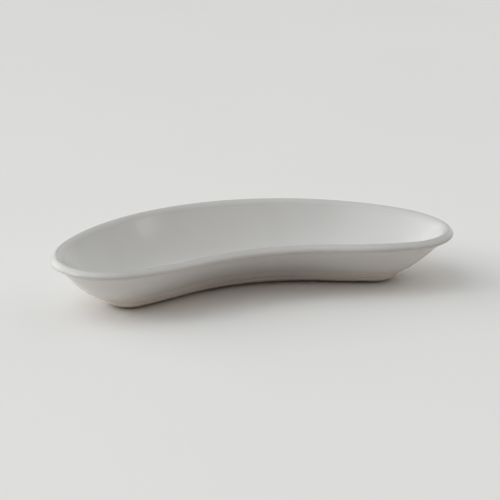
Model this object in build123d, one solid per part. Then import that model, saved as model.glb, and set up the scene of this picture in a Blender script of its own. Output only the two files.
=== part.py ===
from build123d import *
from dataclasses import dataclass
from math import cos, radians, sin
import os

# Kidney dish: a glazed porcelain bowl with a rounded rim, on a low foot. Millimetres and degrees, +Z up.
# The origin is on the surface that the dish stands on, under the middle of its length and width.
# +X runs along its length, its convex back faces +Y and its concave side faces -Y.

HALF_TURN = 180


@dataclass
class Kidney:
    """A kidney outline, mirrored about x = 0. From the back it turns through four convex arcs on each side,
    each starting where the last one ends and in the same direction, and one concave arc closes the front."""

    radii: tuple
    turns: tuple
    back: float

    def inset(self, distance):
        """The outline moved inward by a distance all round."""
        return Kidney(tuple(radius - distance for radius in self.radii), self.turns, self.back - distance)

    def toward(self, other, share):
        """The outline part of the way to another one."""

        def mix(here, there):
            return here + share * (there - here)

        radii = tuple(map(mix, self.radii, other.radii))
        turns = tuple(map(mix, self.turns, other.turns))
        return Kidney(radii, turns, mix(self.back, other.back))

    def wire(self, height):
        """The outline as a closed wire of eight arcs at a height."""
        corner = Vector(0, self.back, height)
        middles = [corner]
        corners = []
        heading = 0
        for radius, turn in zip(self.radii, self.turns):
            centre = corner - outward(heading) * radius
            middles.append(centre + outward(heading - turn / 2) * radius)
            heading -= turn
            corner = centre + outward(heading) * radius
            corners.append(corner)
        concave = corner.X / sin(radians(-HALF_TURN - heading))
        front = corner + (outward(heading) - outward(-HALF_TURN)) * concave
        sides = list(zip(corners, middles[2:], corners[1:]))
        right = [ThreePointArc(*side) for side in sides]
        left = [ThreePointArc(*(mirrored(point) for point in reversed(side))) for side in reversed(sides)]
        back_arc = ThreePointArc(mirrored(corners[0]), middles[0], corners[0])
        front_arc = ThreePointArc(corners[-1], front, mirrored(corners[-1]))
        return Wire([back_arc, *right, front_arc, *left])


def outward(heading):
    """The unit vector to the left of a heading, which points out of an outline walked clockwise."""
    return Vector(-sin(radians(heading)), cos(radians(heading)), 0)


def mirrored(point):
    return Vector(-point.X, point.Y, point.Z)


# Driving dimensions
HEIGHT = 32.9
GLAZE = 0.35          # thickness of the glaze
GLAZE_LINE = 0.8      # height at which the glaze stops above the bare standing ring

RIM = Kidney((146.4, 64.6, 34.2, 170.6), (48.3, 29.7, 105.1, 15.6), 59.9)
CREASE = Kidney((125.7, 32.5, 20.8, 194.7), (50.0, 24.8, 119.7, 10.3), 43.8)
FOOT = Kidney((115.1, 48.9, 16.1, 311.0), (43.7, 34.4, 118.5, 5.9), 39.7)

RIM_FACE = 29.7       # height at which the upright edge of the rim starts to lean in
RIM_TOP_INSET = 3.5   # where the top of the rim is level
KINK_INSET = 4.2      # where the underside of the rim meets the wall
KINK_HEIGHT = 27.8
CREASE_HEIGHT = 9.2   # where the wall ends above the foot
CREASE_STEP = 0.4     # how far the end of the wall stands out over the foot
CREASE_DROP = 0.2     # height of that step
FOOT_HEIGHT = 5.4     # where the foot turns under
TURN_UNDER = 9.6      # from that edge in to the standing ring
RING_WIDTH = 3.8      # standing ring, from its outer edge to the glaze of the recess
THROAT_INSET = 7.4    # where the inside of the rim turns down into the inner wall
THROAT_HEIGHT = 30.5
FLOOR_INSET = 16.0    # from the crease in to the flat part of the floor
FLOOR_HEIGHT = 7.0
RECESS_SLOPE = 1.5    # run of the sloping side of the recess under the base
RECESS_DEPTH = 1.8

# How the profile bends between those levels: a share of the way inward, or an inset, and a height
WALL_BEND_SHARE = 0.53
WALL_BEND_HEIGHT = 15.9
FOOT_BEND_SHARE = 0.51
FOOT_BEND_HEIGHT = 5.7
TURN_BEND_INSET = 1.7
TURN_BEND_HEIGHT = 1.35
INNER_BEND_SHARE = 0.72
LIP_BEND_RISE = 0.4
BEVEL_INSET = 1.4     # the middle of the sloping band between the upright edge and the top
BEVEL_HEIGHT = 31.7
BEVEL_LOW_BEND = 30.5
BEVEL_TOP_BEND = 2.8
THROAT_BEND_INSET = 5.6
THROAT_BEND_HEIGHT = 32.6

# How far the edges between two surfaces move, as a share of the depth below the glazed surface
SLANT = 0.7           # inward and up, where both surfaces slope
KINK_SHIFT = 0.4      # inward, where the rim meets the wall
EASE = 0.4            # inward or down, where the rim turns least
EDGE_SHIFT = 2.6      # inward, where the foot turns under, which is a ridge at the front and a hollow at the back
EDGE_RISE = 0.5       # up, at the same edge
RING_SHIFT = 2.0      # inward along the ground, where the foot meets it at a low angle

BAND_STEPS = 5        # stretches between the outlines that shape each band
INNER_STEPS = 7       # the same for the inner wall, which bends more
CLEAR = 6.0           # how far a cutting solid runs past what it cuts


def bend(start, control, end, steps=BAND_STEPS):
    """Points along a curve that leaves its start toward the control point and arrives at its end from it."""
    for step in range(steps + 1):
        t = step / steps
        yield tuple((1 - t) ** 2 * a + 2 * t * (1 - t) * b + t**2 * c for a, b, c in zip(start, control, end))


def band(levels):
    """A solid through outlines at their heights, given as (outline, height) pairs."""
    return Solid.make_loft([outline.wire(height) for outline, height in levels])


def foot_bands(skin):
    """The foot from the ground up to the wall, a depth below the glazed surface."""
    slant = SLANT * skin
    edge_inset = EDGE_SHIFT * skin
    edge = FOOT.inset(edge_inset)
    edge_height = FOOT_HEIGHT + EDGE_RISE * skin
    crease = CREASE.inset(slant)
    top = crease.inset(CREASE_STEP)
    top_height = CREASE_HEIGHT - CREASE_DROP + slant

    ring = (TURN_UNDER + RING_SHIFT * skin, 0)
    turn_bend = (TURN_BEND_INSET + slant, TURN_BEND_HEIGHT + skin)
    turn = [(FOOT.inset(inset), z) for inset, z in bend(ring, turn_bend, (edge_inset, edge_height))]
    foot_bend = (FOOT_BEND_SHARE, FOOT_BEND_HEIGHT + skin)
    side = [(top.toward(edge, share), z) for share, z in bend((1, edge_height), foot_bend, (0, top_height))]
    step = [(top, top_height), (crease, CREASE_HEIGHT + slant)]
    return [band(turn), band(side), band(step)]


def wall_bands(skin):
    """The wall and the outside of the rim, from the foot to the top, a depth below the glazed surface."""
    slant = SLANT * skin
    crease = CREASE.inset(slant)
    kink_inset = KINK_INSET + KINK_SHIFT * skin
    kink_height = KINK_HEIGHT + skin
    kink = RIM.inset(kink_inset)
    bevel = (BEVEL_INSET + slant, BEVEL_HEIGHT - slant)

    wall_bend = (WALL_BEND_SHARE, WALL_BEND_HEIGHT + slant)
    wall_ends = (1, CREASE_HEIGHT + slant), wall_bend, (0, kink_height)
    wall = [(kink.toward(crease, share), z) for share, z in bend(*wall_ends)]
    lip_ends = (kink_inset, kink_height), (skin, kink_height + LIP_BEND_RISE), (skin, RIM_FACE)
    edge_ends = (skin, RIM_FACE), (skin, BEVEL_LOW_BEND - EASE * skin), bevel
    crest_ends = bevel, (BEVEL_TOP_BEND + EASE * skin, HEIGHT - skin), (RIM_TOP_INSET, HEIGHT - skin)
    rim = [[(RIM.inset(inset), z) for inset, z in bend(*ends)] for ends in (lip_ends, edge_ends, crest_ends)]
    return [band(wall), *map(band, rim)]


def outside(skin):
    """The filled outer shape of the dish, a depth below the glazed surface."""
    return Solid.fuse(*foot_bands(skin), *wall_bands(skin))


def inside(skin):
    """The hollow of the dish, a depth below the glazed surface, open upward."""
    slant = SLANT * skin
    throat_inset = THROAT_INSET - slant
    throat_height = THROAT_HEIGHT - slant
    throat = RIM.inset(throat_inset)
    floor = CREASE.inset(FLOOR_INSET)
    floor_height = FLOOR_HEIGHT - skin
    top = (RIM_TOP_INSET, HEIGHT - skin)

    wall_ends = (1, floor_height), (INNER_BEND_SHARE, floor_height), (0, throat_height)
    wall = [(throat.toward(floor, share), z) for share, z in bend(*wall_ends, steps=INNER_STEPS)]
    mouth_ends = (throat_inset, throat_height), (THROAT_BEND_INSET, THROAT_BEND_HEIGHT - skin), top
    mouth = [(RIM.inset(inset), z) for inset, z in bend(*mouth_ends)]
    above = [(RIM.inset(top[0]), top[1]), (RIM.inset(top[0]), HEIGHT + CLEAR)]
    return Solid.fuse(band(wall), band(mouth), band(above))


def recess(skin):
    """The shallow hollow under the base, a depth below the glazed surface."""
    mouth = FOOT.inset(TURN_UNDER + RING_WIDTH - skin)
    ceiling = mouth.inset(RECESS_SLOPE)
    return band([(mouth, 0), (ceiling, RECESS_DEPTH + skin)])


def below(height):
    """Everything under the dish up to a height."""
    side = 2 * RIM.radii[0]
    return Pos(0, 0, height) * Box(side, side, CLEAR, align=(Align.CENTER, Align.CENTER, Align.MAX))


os.makedirs("parts", exist_ok=True)
blank = outside(GLAZE) - inside(GLAZE)
nodes = {
    "porcelain_body": blank - recess(GLAZE),
    "glaze_coat": outside(0) - inside(0) - blank - below(GLAZE_LINE),
    "underside_glaze": recess(GLAZE) - recess(0) - below(GLAZE_LINE),
}
for name, node in nodes.items():
    export_step(node, f"parts/{name}.step")
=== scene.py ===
import math

import bpy
from mathutils import Matrix, Vector


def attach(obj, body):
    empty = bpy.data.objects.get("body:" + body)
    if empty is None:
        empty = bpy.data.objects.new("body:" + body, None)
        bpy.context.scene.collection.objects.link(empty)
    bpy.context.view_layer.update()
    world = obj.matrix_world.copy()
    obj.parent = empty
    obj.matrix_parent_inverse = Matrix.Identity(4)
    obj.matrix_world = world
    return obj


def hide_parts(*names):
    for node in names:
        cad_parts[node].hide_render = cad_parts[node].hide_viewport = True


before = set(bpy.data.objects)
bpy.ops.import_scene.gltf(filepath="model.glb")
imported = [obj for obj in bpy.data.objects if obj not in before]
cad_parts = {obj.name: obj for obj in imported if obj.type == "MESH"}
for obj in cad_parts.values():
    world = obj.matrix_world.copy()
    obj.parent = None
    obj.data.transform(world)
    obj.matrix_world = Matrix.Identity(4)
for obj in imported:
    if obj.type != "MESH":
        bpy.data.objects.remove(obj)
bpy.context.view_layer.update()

# Kidney dish: a glazed porcelain bowl with a rounded rim on a low foot. The CAD's three solids are replaced
# by meshes of the same shape and size, with finer rounding. Profile sizes are in millimetres, and MM turns
# them into the frame's metres.
MM = 0.001
HALF_TURN = 180

# ---------------------------------------------------------------- outlines


class Kidney:
    """A kidney outline mirrored about x = 0: four convex arcs on each side from the back, and a concave
    front."""

    STEPS = (24, 14, 44, 10)  # stretches along each convex arc
    FRONT_STEPS = 16          # stretches along half of the concave arc

    def __init__(self, radii, turns, back):
        self.radii, self.turns, self.back = radii, turns, back

    def inset(self, distance):
        return Kidney([radius - distance for radius in self.radii], self.turns, self.back - distance)

    def toward(self, other, share):
        def mix(here, there):
            return here + share * (there - here)

        radii = list(map(mix, self.radii, other.radii))
        turns = list(map(mix, self.turns, other.turns))
        return Kidney(radii, turns, mix(self.back, other.back))

    def points(self):
        """Points round the outline, clockwise seen from above, from the middle of the back."""
        corner = Vector((0, self.back))
        heading = 0
        half = [corner]
        for radius, turn, steps in zip(self.radii, self.turns, self.STEPS):
            centre = corner - radius * outward(heading)
            half += [centre + radius * outward(heading - turn * step / steps) for step in range(1, steps + 1)]
            heading -= turn
            corner = half[-1]
        last_turn = -HALF_TURN - heading
        concave = corner.x / math.sin(math.radians(last_turn))
        centre = corner + concave * outward(heading)
        for step in range(1, self.FRONT_STEPS + 1):
            share = step / self.FRONT_STEPS
            half.append(centre - concave * outward(heading + share * last_turn))
        return half + [Vector((-point.x, point.y)) for point in reversed(half[1:-1])]


def outward(heading):
    """The unit vector that points out of an outline walked clockwise, for a heading in degrees."""
    return Vector((-math.sin(math.radians(heading)), math.cos(math.radians(heading))))


# ---------------------------------------------------------------- sizes, mm

HEIGHT = 32.9
GLAZE = 0.35          # thickness of the glaze
GLAZE_LINE = 0.8      # height at which it stops above the bare standing ring

RIM = Kidney((146.4, 64.6, 34.2, 170.6), (48.3, 29.7, 105.1, 15.6), 59.9)
CREASE = Kidney((125.7, 32.5, 20.8, 194.7), (50.0, 24.8, 119.7, 10.3), 43.8)
FOOT = Kidney((115.1, 48.9, 16.1, 311.0), (43.7, 34.4, 118.5, 5.9), 39.7)

RIM_FACE = 29.7       # height at which the upright edge of the rim starts to lean in
RIM_TOP_INSET = 3.5   # where the top of the rim is level
KINK_INSET = 4.2      # where the underside of the rim meets the wall
KINK_HEIGHT = 27.8
CREASE_HEIGHT = 9.2   # where the wall ends above the foot
CREASE_STEP = 0.4     # how far the end of the wall stands out over the foot
CREASE_DROP = 0.2     # height of that step
FOOT_HEIGHT = 5.4     # where the foot turns under
TURN_UNDER = 9.6      # from that edge in to the standing ring
RING_WIDTH = 3.8      # standing ring, from its outer edge to the glaze of the recess
THROAT_INSET = 7.4    # where the inside of the rim turns down into the inner wall
THROAT_HEIGHT = 30.5
FLOOR_INSET = 16.0    # from the crease in to the flat part of the floor
FLOOR_HEIGHT = 7.0
RECESS_SLOPE = 1.5    # run of the sloping side of the recess under the base
RECESS_DEPTH = 1.8

# How the profile bends between those levels: a share of the way inward, or an inset, and a height
WALL_BEND_SHARE = 0.53
WALL_BEND_HEIGHT = 15.9
FOOT_BEND_SHARE = 0.51
FOOT_BEND_HEIGHT = 5.7
TURN_BEND_INSET = 1.7
TURN_BEND_HEIGHT = 1.35
INNER_BEND_SHARE = 0.72
LIP_BEND_RISE = 0.4
BEVEL_INSET = 1.4     # the middle of the sloping band between the upright edge and the top
BEVEL_HEIGHT = 31.7
BEVEL_LOW_BEND = 30.5
BEVEL_TOP_BEND = 2.8
THROAT_BEND_INSET = 5.6
THROAT_BEND_HEIGHT = 32.6

# How far the edges between two surfaces move, as a share of the depth below the glazed surface
SLANT = 0.7           # inward and up, where both surfaces slope
KINK_SHIFT = 0.4      # inward, where the rim meets the wall
EASE = 0.4            # inward or down, where the rim turns least
EDGE_SHIFT = 2.6      # inward, where the foot turns under
EDGE_RISE = 0.5       # up, at the same edge
RING_SHIFT = 2.0      # inward along the ground, where the foot meets it at a low angle

# Softened corners that only the meshes have
RECESS_CORNER = 0.6   # share of the recess's slope and height at which its ceiling starts to round
RECESS_SPREAD = 1.5   # where that rounding ends, as a share of the slope
RECESS_LINE = 0.9     # height at which the glaze in the recess stops
RING_INNER_EASE = (0.3, 0.25)   # width and height of the eased inner edge of the bare ring
RING_OUTER_EASE = (0.05, 0.15)  # inset and height of the point that eases its outer edge
RING_FLAT = 0.4       # from the ring's outer edge in to where it is flat

# Rows of quads in each band of the profile
TURN_ROWS, SIDE_ROWS, WALL_ROWS, RIM_ROWS = 12, 12, 20, 10
MOUTH_ROWS, INNER_ROWS, RECESS_ROWS, CAP_ROWS = 8, 26, 6, 8
EASED_ROWS = 3        # rows of the turn that the eased outer edge of the bare ring takes the place of


# ---------------------------------------------------------------- profile


def bend(start, control, end, rows):
    """Points along a curve that leaves its start toward the control point and arrives at its end from it.
    They crowd together at both ends, so that the shading turns each corner as sharply as the glaze does."""
    for row in range(rows + 1):
        share = row / rows
        t = share * share * (3 - 2 * share)
        weights = (1 - t) ** 2, 2 * t * (1 - t), t**2
        yield tuple(weights[0] * a + weights[1] * b + weights[2] * c for a, b, c in zip(start, control, end))


def foot_levels(skin):
    """Outlines and heights from the standing ring up to the top of the foot."""
    slant = SLANT * skin
    edge_inset = EDGE_SHIFT * skin
    edge = FOOT.inset(edge_inset)
    edge_height = FOOT_HEIGHT + EDGE_RISE * skin
    top = CREASE.inset(slant + CREASE_STEP)
    top_height = CREASE_HEIGHT - CREASE_DROP + slant
    ring = (TURN_UNDER + RING_SHIFT * skin, 0)
    turn_ends = ring, (TURN_BEND_INSET + slant, TURN_BEND_HEIGHT + skin), (edge_inset, edge_height)
    turn = [(FOOT.inset(inset), z) for inset, z in bend(*turn_ends, TURN_ROWS)]
    side_ends = (1, edge_height), (FOOT_BEND_SHARE, FOOT_BEND_HEIGHT + skin), (0, top_height)
    side = [(top.toward(edge, share), z) for share, z in bend(*side_ends, SIDE_ROWS)]
    return turn + side[1:]


def outer_levels(skin):
    """Outlines and heights up the outside, from the standing ring to the top of the rim."""
    slant = SLANT * skin
    crease = CREASE.inset(slant)
    kink_inset = KINK_INSET + KINK_SHIFT * skin
    kink_height = KINK_HEIGHT + skin
    kink = RIM.inset(kink_inset)
    bevel = (BEVEL_INSET + slant, BEVEL_HEIGHT - slant)
    wall_bend = (WALL_BEND_SHARE, WALL_BEND_HEIGHT + slant)
    wall_ends = (1, CREASE_HEIGHT + slant), wall_bend, (0, kink_height)
    wall = [(kink.toward(crease, share), z) for share, z in bend(*wall_ends, WALL_ROWS)]
    lip_ends = (kink_inset, kink_height), (skin, kink_height + LIP_BEND_RISE), (skin, RIM_FACE)
    edge_ends = (skin, RIM_FACE), (skin, BEVEL_LOW_BEND - EASE * skin), bevel
    crest_ends = bevel, (BEVEL_TOP_BEND + EASE * skin, HEIGHT - skin), (RIM_TOP_INSET, HEIGHT - skin)
    rim = []
    for ends in (lip_ends, edge_ends, crest_ends):
        rim += [(RIM.inset(inset), z) for inset, z in bend(*ends, RIM_ROWS)][1:]
    return foot_levels(skin) + wall + rim


def inner_levels(skin):
    """Outlines and heights down the inside, from just inside the top of the rim to the flat floor."""
    slant = SLANT * skin
    throat_inset = THROAT_INSET - slant
    throat_height = THROAT_HEIGHT - slant
    throat = RIM.inset(throat_inset)
    floor = CREASE.inset(FLOOR_INSET)
    floor_height = FLOOR_HEIGHT - skin
    top = (RIM_TOP_INSET, HEIGHT - skin)
    mouth_ends = top, (THROAT_BEND_INSET, THROAT_BEND_HEIGHT - skin), (throat_inset, throat_height)
    mouth = [(RIM.inset(inset), z) for inset, z in bend(*mouth_ends, MOUTH_ROWS)]
    wall_ends = (0, throat_height), (INNER_BEND_SHARE, floor_height), (1, floor_height)
    wall = [(throat.toward(floor, share), z) for share, z in bend(*wall_ends, INNER_ROWS)]
    return mouth[1:] + wall[1:]


def above(levels, height):
    """The levels over a height, starting with one made at that height."""
    for index in range(len(levels) - 1):
        (low, z_low), (high, z_high) = levels[index], levels[index + 1]
        if z_low <= height < z_high:
            share = (height - z_low) / (z_high - z_low)
            return [(low.toward(high, share), height)] + levels[index + 1:]
    return levels


def recess_levels(skin):
    """Outlines and heights of the recess under the base, from its mouth up to its ceiling. The corner between
    its side and its ceiling is rounded."""
    mouth = FOOT.inset(TURN_UNDER + RING_WIDTH - skin)
    top = RECESS_DEPTH + skin
    corner_start = (RECESS_CORNER * RECESS_SLOPE, RECESS_CORNER * top)
    corner_ends = corner_start, (RECESS_SLOPE, top), (RECESS_SPREAD * RECESS_SLOPE, top)
    return [(mouth, 0)] + [(mouth.inset(inset), z) for inset, z in bend(*corner_ends, RECESS_ROWS)]


# ---------------------------------------------------------------- meshes


TURN_REACH = 0.9              # mm along the profile over which the turn is measured, for painted shade over edges and in hollows
FULL_TURN = math.radians(45)  # turn of the profile that gives the full painted shade


def hollowness(levels):
    """How the profile turns at each level: from -1 over an edge to 1 in a hollow. The glaze material paints
    shade by it.
    """
    line = [Vector((outline.back, height)) for outline, height in levels]
    travel = [0]
    for here, there in zip(line, line[1:]):
        travel.append(travel[-1] + (there - here).length)

    def at(distance):
        for index in range(len(line) - 1):
            if distance <= travel[index + 1]:
                stretch = travel[index + 1] - travel[index]
                return line[index].lerp(line[index + 1], max(0, distance - travel[index]) / stretch)
        return line[-1]

    turns = []
    for point, distance in zip(line, travel):
        before, after = point - at(distance - TURN_REACH), at(distance + TURN_REACH) - point
        turn = before.angle_signed(after, 0)
        turns.append(max(-1, min(1, turn / FULL_TURN)))
    return turns


class Skin:
    """Collects the vertices and faces of one piece, and how the profile turns at each vertex, for painted
    shade over edges and in hollows.
    """

    def __init__(self):
        self.vertices, self.faces, self.shade_turns = [], [], []

    def ring(self, level, depth):
        """Adds an outline at its height and returns its vertex numbers."""
        outline, height = level
        first = len(self.vertices)
        self.vertices += [(point.x * MM, point.y * MM, height * MM) for point in outline.points()]
        count = len(self.vertices) - first
        self.shade_turns += [depth] * count
        return list(range(first, first + count))

    def join(self, lower, upper, flip=False):
        """Quads between two rings."""
        count = len(lower)
        for i in range(count):
            j = (i + 1) % count
            quad = (lower[i], upper[i], upper[j], lower[j])
            self.faces.append(quad[::-1] if flip else quad)

    def sheet(self, levels, flip=False):
        """Quads through a list of levels. Returns the first and last rings."""
        rings = [self.ring(level, depth) for level, depth in zip(levels, hollowness(levels))]
        for lower, upper in zip(rings, rings[1:]):
            self.join(lower, upper, flip)
        return rings[0], rings[-1]

    def cap(self, ring, flip=False):
        """Fills a flat ring with quads that run across from its back half to its front half."""
        half = len(ring) // 2
        columns = []
        order = ring[half // 2:] + ring[:half // 2]
        for i in range(1, half):
            back, front = order[-i], order[i]
            start, end = Vector(self.vertices[back]), Vector(self.vertices[front])
            column = [back]
            for row in range(1, CAP_ROWS):
                self.vertices.append(tuple(start.lerp(end, row / CAP_ROWS)))
                self.shade_turns.append(0)
                column.append(len(self.vertices) - 1)
            columns.append(column + [front])
        for left, right in zip(columns, columns[1:]):
            for row in range(CAP_ROWS):
                quad = (right[row], right[row + 1], left[row + 1], left[row])
                self.faces.append(quad[::-1] if flip else quad)
        for tip, column in ((order[0], columns[0]), (order[half], columns[-1])):
            for low, high in zip(column, column[1:]):
                triangle = (tip, low, high) if tip == order[0] else (tip, high, low)
                self.faces.append(triangle[::-1] if flip else triangle)

    def make(self, name):
        mesh = bpy.data.meshes.new(name)
        mesh.from_pydata(self.vertices, [], self.faces)
        mesh.validate()
        mesh.shade_smooth()
        # The profile turn at each vertex, which the glaze material uses for painted shade over edges and in
        # hollows
        mesh.attributes.new("profile_turn_shade", "FLOAT", "POINT").data.foreach_set("value", self.shade_turns)
        piece = bpy.data.objects.new(name, mesh)
        bpy.context.scene.collection.objects.link(piece)
        return piece


def glazed_bowl():
    """The glaze: its outer surface, the surface on the porcelain, and its edge at the glaze line."""
    skin = Skin()
    edges = []
    for depth in (0, GLAZE):
        under = depth > 0
        levels = above(outer_levels(depth), GLAZE_LINE) + inner_levels(depth)
        edge, floor = skin.sheet(levels, flip=under)
        skin.cap(floor, flip=under)
        edges.append(edge)
    skin.join(edges[1], edges[0])
    return skin.make("glazed_bowl")


def bare_body():
    """The porcelain under the glaze, whose standing ring shows."""
    skin = Skin()
    levels = outer_levels(GLAZE)
    stand = levels[0][0]
    mouth = FOOT.inset(TURN_UNDER + RING_WIDTH - GLAZE)
    inner_width, inner_height = RING_INNER_EASE
    outer_inset, outer_height = RING_OUTER_EASE
    inner_edge = [(mouth, inner_height), (mouth.inset(-inner_width), 0)]
    outer_edge = [(stand.inset(RING_FLAT), 0), (stand.inset(outer_inset), outer_height)]
    recess = list(reversed(recess_levels(GLAZE)))[:-1]
    outside = levels[EASED_ROWS:] + inner_levels(GLAZE)
    ceiling, floor = skin.sheet(recess + inner_edge + outer_edge + outside)
    skin.cap(ceiling, flip=True)
    skin.cap(floor)
    return skin.make("bare_body")


def recess_glaze():
    """The glaze in the recess under the base."""
    skin = Skin()
    edges = []
    for depth in (0, GLAZE):
        visible = depth == 0
        edge, ceiling = skin.sheet(above(recess_levels(depth), RECESS_LINE), flip=visible)
        skin.cap(ceiling, flip=visible)
        edges.append(edge)
    skin.join(edges[0], edges[1])
    return skin.make("recess_glaze")


# ---------------------------------------------------------------- materials


class Nodes:
    """Short calls for building a material's nodes."""

    def __init__(self, name):
        self.material = bpy.data.materials.new(name)
        self.material.use_nodes = True
        self.tree = self.material.node_tree
        self.shader = self.tree.nodes["Principled BSDF"]
        self.coordinates = self.add("ShaderNodeTexCoord").outputs
        self.place = self.coordinates["Object"]

    def add(self, kind, **inputs):
        node = self.tree.nodes.new(kind)
        for name, value in inputs.items():
            self.feed(node.inputs[name.replace("_", " ")], value)
        return node

    def feed(self, socket, value):
        if isinstance(value, bpy.types.NodeSocket):
            self.tree.links.new(value, socket)
        else:
            socket.default_value = value

    def noise(self, scale, detail=2.0, rough=0.5, place=None):
        place = place or self.place
        node = self.add("ShaderNodeTexNoise", Vector=place, Scale=scale, Detail=detail, Roughness=rough)
        return node.outputs["Fac"]

    def remap(self, value, low, high, to_low, to_high):
        node = self.add("ShaderNodeMapRange", Value=value)
        node.inputs["From Min"].default_value = low
        node.inputs["From Max"].default_value = high
        node.inputs["To Min"].default_value = to_low
        node.inputs["To Max"].default_value = to_high
        return node.outputs["Result"]

    def mix(self, share, first, second):
        node = self.tree.nodes.new("ShaderNodeMix")
        node.data_type = "RGBA"
        self.feed(node.inputs["Factor"], share)
        self.feed(node.inputs[6], first)
        self.feed(node.inputs[7], second)
        return node.outputs[2]

    def part(self, vector, axis):
        return self.add("ShaderNodeSeparateXYZ", Vector=vector).outputs[axis]

    def times(self, first, second):
        node = self.tree.nodes.new("ShaderNodeMath")
        node.operation = "MULTIPLY"
        self.feed(node.inputs[0], first)
        self.feed(node.inputs[1], second)
        return node.outputs[0]

    def plus(self, first, second):
        node = self.tree.nodes.new("ShaderNodeMath")
        self.feed(node.inputs[0], first)
        self.feed(node.inputs[1], second)
        return node.outputs[0]

    def stretched(self, scale, turn):
        """The place on the object, turned about Z by an angle in radians and stretched along the axes."""
        node = self.add("ShaderNodeMapping", Vector=self.place, Rotation=(0, 0, turn), Scale=scale)
        return node.outputs["Vector"]

    def bump(self, height, distance, strength=1.0, normal=None):
        node = self.add("ShaderNodeBump", Height=height, Distance=distance, Strength=strength)
        if normal:
            self.feed(node.inputs["Normal"], normal)
        return node.outputs["Normal"]


PALE_GLAZE, BRIGHT_GLAZE = (0.700, 0.698, 0.688, 1), (0.735, 0.735, 0.724, 1)
# Painted shade: the glaze colour in hollows such as the kink and the crease
PAINTED_HOLLOW_SHADE = (0.46, 0.44, 0.41, 1)
# Painted shade: the glaze colour over convex edges such as the rim bead
PAINTED_EDGE_SHADE = (0.54, 0.525, 0.50, 1)
# Painted light: a lighter, warmer colour on the downward-facing lower outer wall, standing in for light
# bounced from below
PAINTED_LOW_WALL_LIGHT = (0.80, 0.72, 0.63, 1)
# Painted shade: a darker, warmer colour on the downward-facing upper outer wall
PAINTED_HIGH_WALL_SHADE = (0.62, 0.525, 0.475, 1)
# Painted shade: a warm, slightly darker colour on the outward-facing foot below the crease, like a reflected
# brown table
PAINTED_FOOT_SHADE = (0.72, 0.63, 0.535, 1)
SPECK = (0.30, 0.27, 0.23, 1)
SCRATCH_STRETCH = (1, 14, 1)
SCRATCH_ANGLE = 0.5         # radians
SCRATCH_ROUGHNESS = 0.06
WAVE_HEIGHT, PEEL_HEIGHT, SCRATCH_DEPTH = 0.0002, 0.00002, 0.000004  # m

DARK_BISCUIT, PALE_BISCUIT = (0.56, 0.52, 0.46, 1), (0.66, 0.62, 0.56, 1)
GRIT = (0.30, 0.27, 0.24, 1)
GRIT_HEIGHT = 0.00015       # m

FLOOR_COLOUR = (0.92, 0.92, 0.91, 1)


def glaze_material():
    """White porcelain glaze with clouding and specks. Shade is painted into its colour: darker over edges and
    in hollows, darker and warmer on the upper outer wall, and warm on the foot; light is painted in as a
    lighter, warmer lower outer wall. Its surface has soft waves, orange peel and light scratches."""
    n = Nodes("white_glaze")
    height = n.part(n.place, "Z")
    facing = n.part(n.coordinates["Normal"], "Z")
    cloud = n.remap(n.noise(22, 3), 0.35, 0.65, 0, 1)
    wander = n.remap(n.noise(160, 3), 0.3, 0.7, 0.7, 1.0)
    # Reads the profile turn, which drives the painted shade over edges and in hollows
    depth = n.add("ShaderNodeAttribute")
    depth.attribute_name = "profile_turn_shade"
    # Painted shade in hollows, from the profile turn
    hollow_shade = n.remap(depth.outputs["Fac"], 0, 1, 0, 0.6)
    # Painted shade over edges, from the profile turn
    edge_shade = n.remap(depth.outputs["Fac"], 0, -0.7, 0, 0.8)
    # Which way the surface faces, for the painted light and shade on the outer wall and foot
    facing_down = n.remap(facing, -0.1, -0.5, 0, 1)
    facing_out = n.remap(facing, 0.5, 0.1, 0, 1)
    # Painted light on the lower outer wall, strongest near the bottom
    low = n.times(facing_down, n.remap(height, 0.020, 0.006, 0, 0.6))
    # Painted warm shade on the foot
    foot = n.times(facing_out, n.remap(height, 0.0098, 0.0088, 0, 0.45))
    # Painted shade on the upper outer wall, strongest near the rim
    high = n.times(facing_down, n.remap(height, 0.010, 0.026, 0, 0.45))

    colour = n.mix(cloud, PALE_GLAZE, BRIGHT_GLAZE)
    # Painted shade over edges, in hollows, on the upper outer wall and on the foot, and painted light on the
    # lower outer wall
    tints = (hollow_shade, PAINTED_HOLLOW_SHADE), (edge_shade, PAINTED_EDGE_SHADE), (low, PAINTED_LOW_WALL_LIGHT), (foot, PAINTED_FOOT_SHADE), (high, PAINTED_HIGH_WALL_SHADE)
    for share, tint in tints:
        colour = n.mix(n.times(share, wander), colour, tint)
    speck = n.remap(n.noise(900, 1), 0.80, 0.86, 0, 0.5)
    n.feed(n.shader.inputs["Base Color"], n.mix(speck, colour, SPECK))

    scratch_place = n.stretched(SCRATCH_STRETCH, SCRATCH_ANGLE)
    scratch = n.remap(n.noise(260, 2, 0.6, scratch_place), 0.66, 0.72, 0, 1)
    rough = n.remap(n.noise(70, 4, 0.6), 0.3, 0.7, 0.12, 0.18)
    n.feed(n.shader.inputs["Roughness"], n.plus(rough, n.times(scratch, SCRATCH_ROUGHNESS)))
    wave = n.bump(n.noise(45, 1), WAVE_HEIGHT, 0.6)
    peel = n.bump(n.noise(1100, 2), PEEL_HEIGHT, 0.5, wave)
    n.feed(n.shader.inputs["Normal"], n.bump(scratch, -SCRATCH_DEPTH, 0.6, peel))
    return n.material


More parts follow.
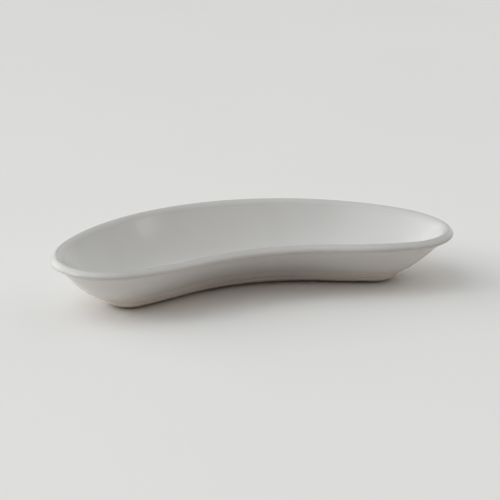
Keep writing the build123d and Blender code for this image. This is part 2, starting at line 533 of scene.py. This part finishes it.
def bare_material():
    """Unglazed porcelain: warm, matte and slightly gritty."""
    n = Nodes("bare_porcelain")
    grain = n.noise(1500, 4, 0.7)
    colour = n.mix(n.remap(n.noise(60, 4), 0.3, 0.7, 0, 1), DARK_BISCUIT, PALE_BISCUIT)
    colour = n.mix(n.remap(grain, 0.62, 0.75, 0, 0.4), colour, GRIT)
    n.feed(n.shader.inputs["Base Color"], colour)
    n.feed(n.shader.inputs["Roughness"], n.remap(grain, 0.3, 0.7, 0.75, 0.95))
    n.feed(n.shader.inputs["Normal"], n.bump(grain, GRIT_HEIGHT, 0.7))
    return n.material


def floor_material():
    n = Nodes("pale_floor")
    n.feed(n.shader.inputs["Base Color"], FLOOR_COLOUR)
    n.feed(n.shader.inputs["Roughness"], n.remap(n.noise(8, 2), 0.3, 0.7, 0.6, 0.7))
    return n.material


# ---------------------------------------------------------------- pieces

white_glaze = glaze_material()
bare_porcelain = bare_material()
for piece, node, slot, material in (
    (glazed_bowl(), "glaze_coat", "white_glaze", white_glaze),
    (bare_body(), "porcelain_body", "bare_porcelain", bare_porcelain),
    (recess_glaze(), "underside_glaze", "white_glaze", white_glaze),
):
    piece.data.materials.append(material)
    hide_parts(node)
    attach(piece, "root")


# ---------------------------------------------------------------- stage, lights and camera

FLOOR_SIZE = 12.0        # m
SOFTBOX_DISTANCE = 1.6   # m
SOFTBOXES = (            # name, azimuth, elevation, width and height in metres, radiance
    ("rim_light", -93, 32, 0.5, 0.35, 5),
    ("window_light", 69, 43.5, 0.44, 0.12, 1.7),
)
GLOW_POWER = 6           # how tightly each glow gathers round its direction
GLOWS = (                # azimuth, elevation, strength, colour
    (-135, 8, 2.72, (1, 1, 1)),
    (135, 8, 0.69, (0.97, 1, 0.97)),
    (-90, 40, 0.72, (1.06, 0.98, 0.94)),
    (45, 40, 0.44, (1.2, 0.95, 0.8)),
    (90, 40, 0.51, (0.88, 1.03, 1.08)),
    (135, 40, 0.18, (1.2, 0.93, 0.93)),
    (-90, 68, 1.0, (0.92, 1.02, 1.05)),
)


def stage_floor():
    mesh = bpy.data.meshes.new("floor")
    side = FLOOR_SIZE / 2
    corners = [(-side, -side, 0), (side, -side, 0), (side, side, 0), (-side, side, 0)]
    mesh.from_pydata(corners, [], [(0, 1, 2, 3)])
    mesh.materials.append(floor_material())
    floor = bpy.data.objects.new("floor", mesh)
    bpy.context.scene.collection.objects.link(floor)


def direction_to(azimuth, elevation):
    """The unit vector toward an azimuth (0 = in front, 90 = at +X) and an elevation, in degrees."""
    a, e = math.radians(azimuth), math.radians(elevation)
    return Vector((math.sin(a) * math.cos(e), -math.cos(a) * math.cos(e), math.sin(e)))


def softbox(name, azimuth, elevation, width, height, radiance):
    """A rectangular area light that faces the dish, for a reflection in the glaze."""
    light = bpy.data.lights.new(name, "AREA")
    light.shape = "RECTANGLE"
    light.size, light.size_y = width, height
    light.energy = radiance * math.pi * width * height
    lamp = bpy.data.objects.new(name, light)
    direction = direction_to(azimuth, elevation)
    lamp.location = direction * SOFTBOX_DISTANCE
    lamp.rotation_mode = "QUATERNION"
    lamp.rotation_quaternion = direction.to_track_quat("Z", "Y")
    bpy.context.scene.collection.objects.link(lamp)


def sky():
    """Soft light from all round: a sum of broad glows, each brightest in its own direction."""
    world = bpy.data.worlds.new("sky")
    world.use_nodes = True
    tree = world.node_tree
    ray = tree.nodes.new("ShaderNodeTexCoord").outputs["Generated"]
    total = None
    for azimuth, elevation, strength, colour in GLOWS:
        facing = tree.nodes.new("ShaderNodeVectorMath")
        facing.operation = "DOT_PRODUCT"
        facing.inputs[1].default_value = direction_to(azimuth, elevation)
        tree.links.new(ray, facing.inputs[0])
        level = facing.outputs["Value"]
        for operation, number in (("MAXIMUM", 0), ("POWER", GLOW_POWER)):
            step = tree.nodes.new("ShaderNodeMath")
            step.operation = operation
            step.inputs[1].default_value = number
            tree.links.new(level, step.inputs[0])
            level = step.outputs[0]
        glow = tree.nodes.new("ShaderNodeVectorMath")
        glow.operation = "MULTIPLY_ADD"
        glow.inputs[1].default_value = [strength * part for part in colour]
        tree.links.new(level, glow.inputs[0])
        if total:
            tree.links.new(total, glow.inputs[2])
        total = glow.outputs["Vector"]
    tree.links.new(total, tree.nodes["Background"].inputs["Color"])
    bpy.context.scene.world = world


CAMERA_AIM = (4.80, -0.95, 18.48)    # mm, a point on the line of sight beside the middle of the dish
CAMERA_DISTANCE = 1355.2             # mm
CAMERA_AZIMUTH = -19.22
CAMERA_ELEVATION = 18.54
CAMERA_ROLL = -0.60
CAMERA_LENS = 160.44                 # mm
CAMERA_SENSOR = 36.0                 # mm
CAMERA_REACH = 50.0                  # m


def camera():
    azimuth, roll = math.radians(CAMERA_AZIMUTH), math.radians(CAMERA_ROLL)
    back = direction_to(CAMERA_AZIMUTH, CAMERA_ELEVATION)
    right = Vector((math.cos(azimuth), math.sin(azimuth), 0))
    up = back.cross(right)
    rolled_right = right * math.cos(roll) - up * math.sin(roll)
    rolled_up = right * math.sin(roll) + up * math.cos(roll)
    data = bpy.data.cameras.new("camera")
    data.sensor_width = CAMERA_SENSOR
    data.lens = CAMERA_LENS
    data.clip_end = CAMERA_REACH
    seen_from = bpy.data.objects.new("camera", data)
    place = (Vector(CAMERA_AIM) + back * CAMERA_DISTANCE) * MM
    turned = Matrix((rolled_right, rolled_up, back)).transposed().to_4x4()
    seen_from.matrix_world = Matrix.Translation(place) @ turned
    bpy.context.scene.collection.objects.link(seen_from)
    bpy.context.scene.camera = seen_from


stage_floor()
sky()
for box in SOFTBOXES:
    softbox(*box)
camera()
bpy.context.scene.view_settings.view_transform = "Standard"
